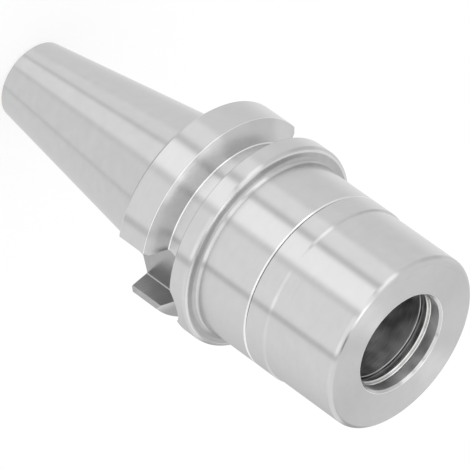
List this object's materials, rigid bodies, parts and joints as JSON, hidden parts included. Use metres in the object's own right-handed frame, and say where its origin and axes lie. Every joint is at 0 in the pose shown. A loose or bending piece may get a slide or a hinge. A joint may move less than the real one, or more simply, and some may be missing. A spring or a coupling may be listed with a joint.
{
  "type": "collet chuck holder",
  "caption": "Collet chuck holder with a 7/24 spindle taper, gripper flange with drive slots, and a round clamping nut on a threaded nose.",
  "frame": {"origin": "centre of the taper's gauge line, on the axis", "axes": "+Z along the axis towards the nut, drive slots on +X and -X"},
  "size_m": [0.046, 0.046, 0.1084],
  "materials": {
    "holder_steel": "ground, satin",
    "nut_steel": "turned and ground, satin",
    "ring_steel": "turned, fine rings",
    "ball_steel": "polished",
    "wire_steel": "drawn spring wire"
  },
  "bodies": {
    "holder": {"holder_body": "holder_steel"},
    "bearing": {"thrust_ring": "ring_steel", "thrust_balls": "ball_steel"},
    "nut": {"clamping_nut": "nut_steel", "retaining_wire": "wire_steel"}
  },
  "joints": [
    {"name": "nut_advance", "type": "slide", "parent": "holder", "child": "bearing", "axis": [0, 0, 1], "range_m": [0, 0.01205]},
    {"name": "nut_turn", "type": "hinge", "parent": "bearing", "child": "nut", "pos_m": [0, 0, 0.048], "axis": [0, 0, 1], "range_deg": [0, 2880]}
  ],
  "couplings": [
    {"joint": "nut_advance", "follows": "nut_turn", "m_per_rad": 0.00023873}
  ]
}
